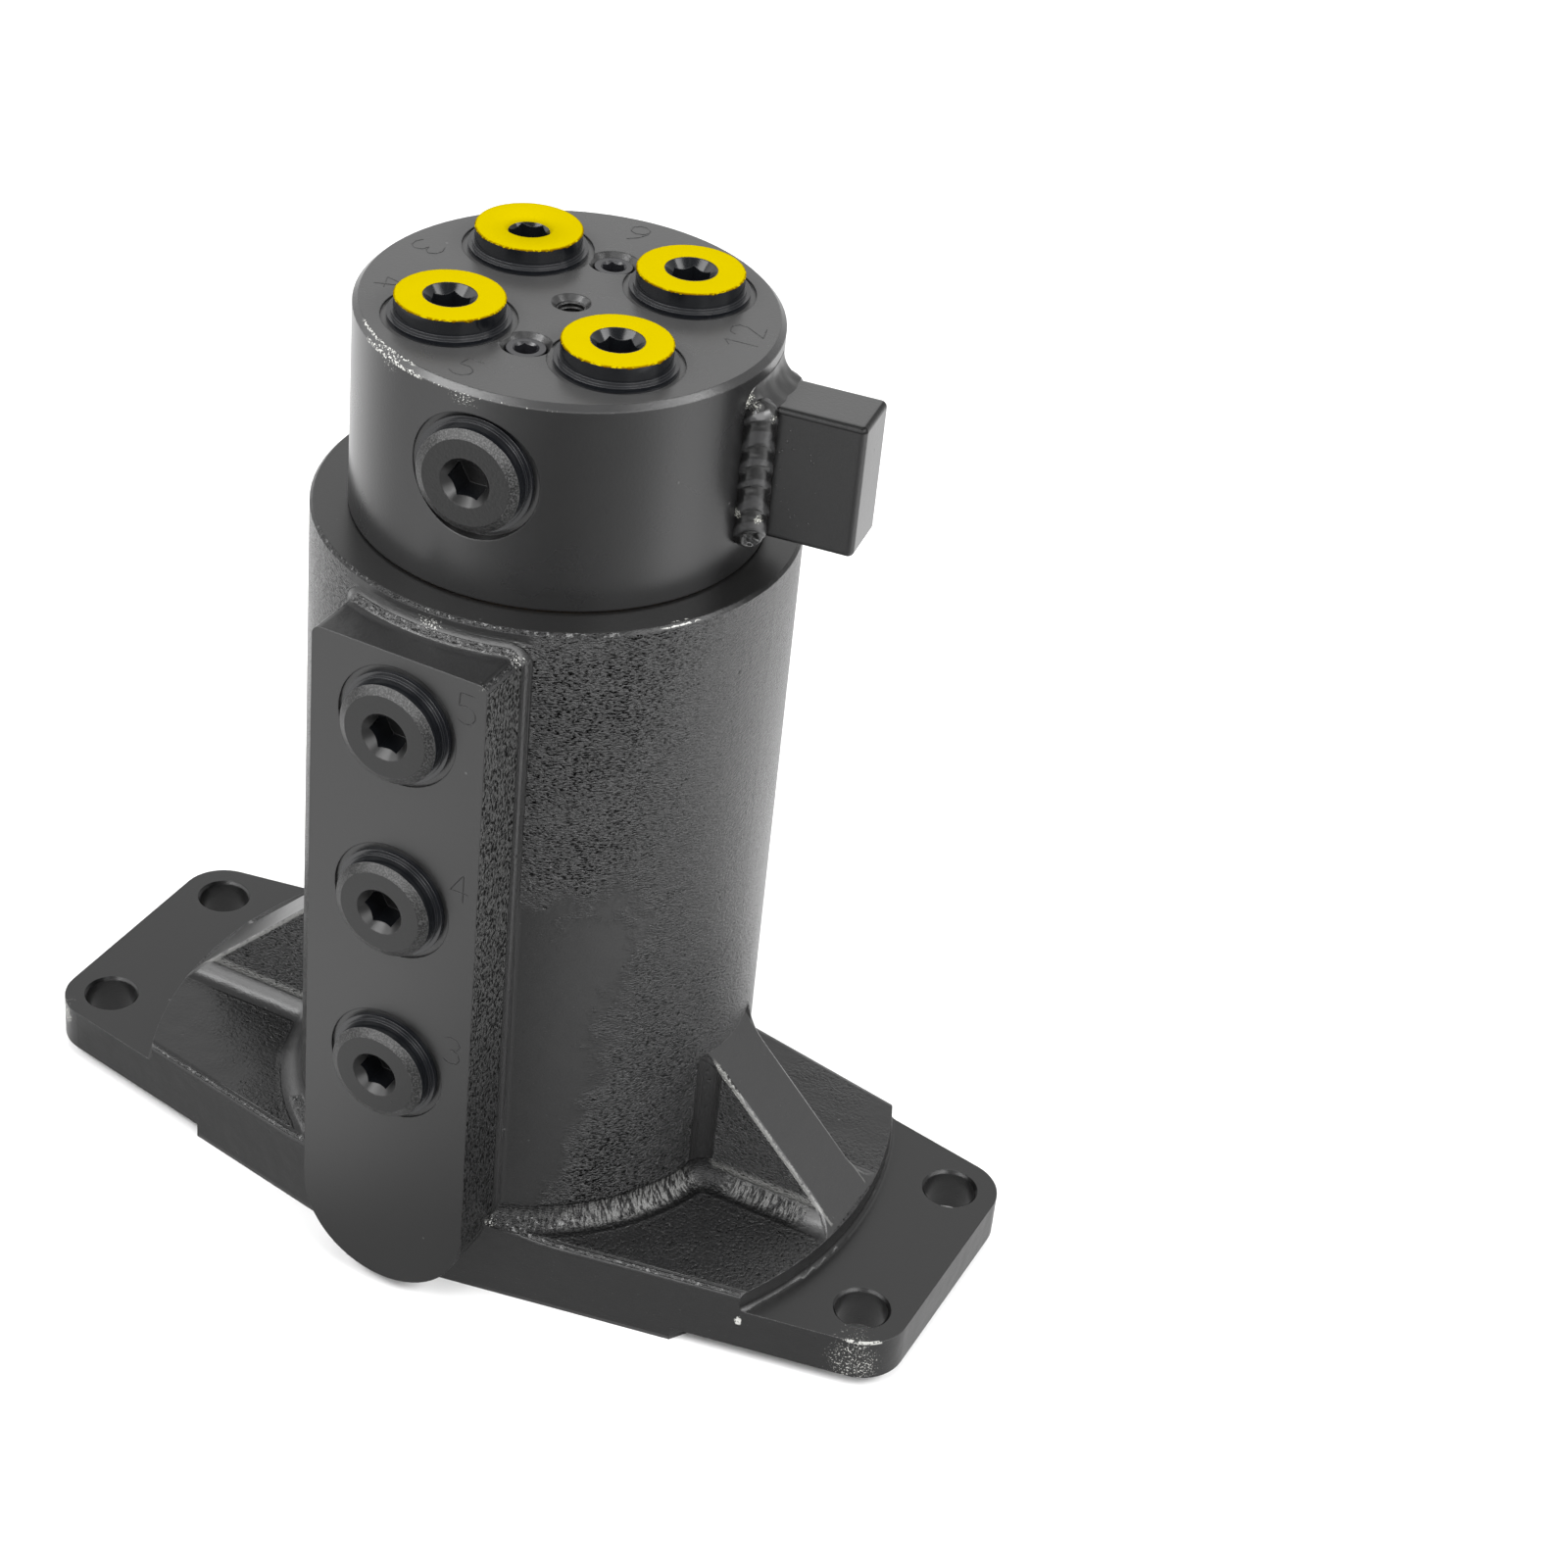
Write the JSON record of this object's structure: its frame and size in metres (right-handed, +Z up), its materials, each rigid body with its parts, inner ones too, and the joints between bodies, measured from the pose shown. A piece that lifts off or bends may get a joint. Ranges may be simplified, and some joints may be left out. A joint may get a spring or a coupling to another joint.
{
  "type": "excavator center swivel joint",
  "caption": "Hydraulic swivel joint: ported head on a spindle that turns in a cast housing with two bolted ears and side port pads.",
  "frame": {"origin": "on the swivel axis, in the plane of the ears' underside, centre of the four bolt holes", "axes": "+Z up the swivel axis; the ears point along X; the front port pad faces -Y"},
  "size_m": [0.255, 0.1518, 0.2568],
  "materials": {
    "cast_paint": "satin",
    "machined_paint": "satin",
    "bar_paint": "satin",
    "weld_paint": "satin",
    "painted_plug": "satin",
    "black_plug": "satin",
    "washer": "gloss",
    "taper_plug": "gloss",
    "slip_ring": "satin",
    "seal_rubber": "matte",
    "bearing_bronze": "satin",
    "spring_steel": "satin",
    "cover_paint": "satin",
    "screw_steel": "satin"
  },
  "bodies": {
    "housing": {"housing": "cast_paint", "plug_front_upper": "black_plug", "washer_front_upper": "washer", "plug_front_middle": "black_plug", "washer_front_middle": "washer", "plug_front_lower": "black_plug", "washer_front_lower": "washer", "plug_rear_upper": "black_plug", "washer_rear_upper": "washer", "plug_rear_middle": "black_plug", "washer_rear_middle": "washer", "plug_rear_lower": "black_plug", "washer_rear_lower": "washer", "slip_ring_1": "slip_ring", "energizer_ring_1": "seal_rubber", "slip_ring_2": "slip_ring", "energizer_ring_2": "seal_rubber", "slip_ring_3": "slip_ring", "energizer_ring_3": "seal_rubber", "slip_ring_4": "slip_ring", "energizer_ring_4": "seal_rubber", "slip_ring_5": "slip_ring", "energizer_ring_5": "seal_rubber", "slip_ring_6": "slip_ring", "energizer_ring_6": "seal_rubber", "slip_ring_7": "slip_ring", "energizer_ring_7": "seal_rubber", "dust_seal": "seal_rubber", "thrust_ring": "bearing_bronze", "bottom_cover": "cover_paint", "cover_o_ring": "seal_rubber", "cover_screw_1": "screw_steel", "cover_screw_2": "screw_steel", "cover_screw_3": "screw_steel", "cover_screw_4": "screw_steel"},
    "rotor": {"spindle": "machined_paint", "stop_lug": "bar_paint", "lug_weld": "weld_paint", "top_plug_1": "painted_plug", "top_washer_1": "washer", "top_plug_2": "painted_plug", "top_washer_2": "washer", "top_plug_3": "painted_plug", "top_washer_3": "washer", "top_plug_4": "painted_plug", "top_washer_4": "washer", "side_plug_front": "black_plug", "side_washer_front": "washer", "taper_plug_front": "taper_plug", "side_plug_rear": "black_plug", "side_washer_rear": "washer", "taper_plug_rear": "taper_plug", "retaining_washer": "spring_steel", "snap_ring": "spring_steel"}
  },
  "joints": [
    {"name": "rotor_spin", "type": "hinge", "parent": "housing", "child": "rotor", "pos_m": [0, 0, 0], "axis": [0, 0, 1], "continuous": true}
  ]
}
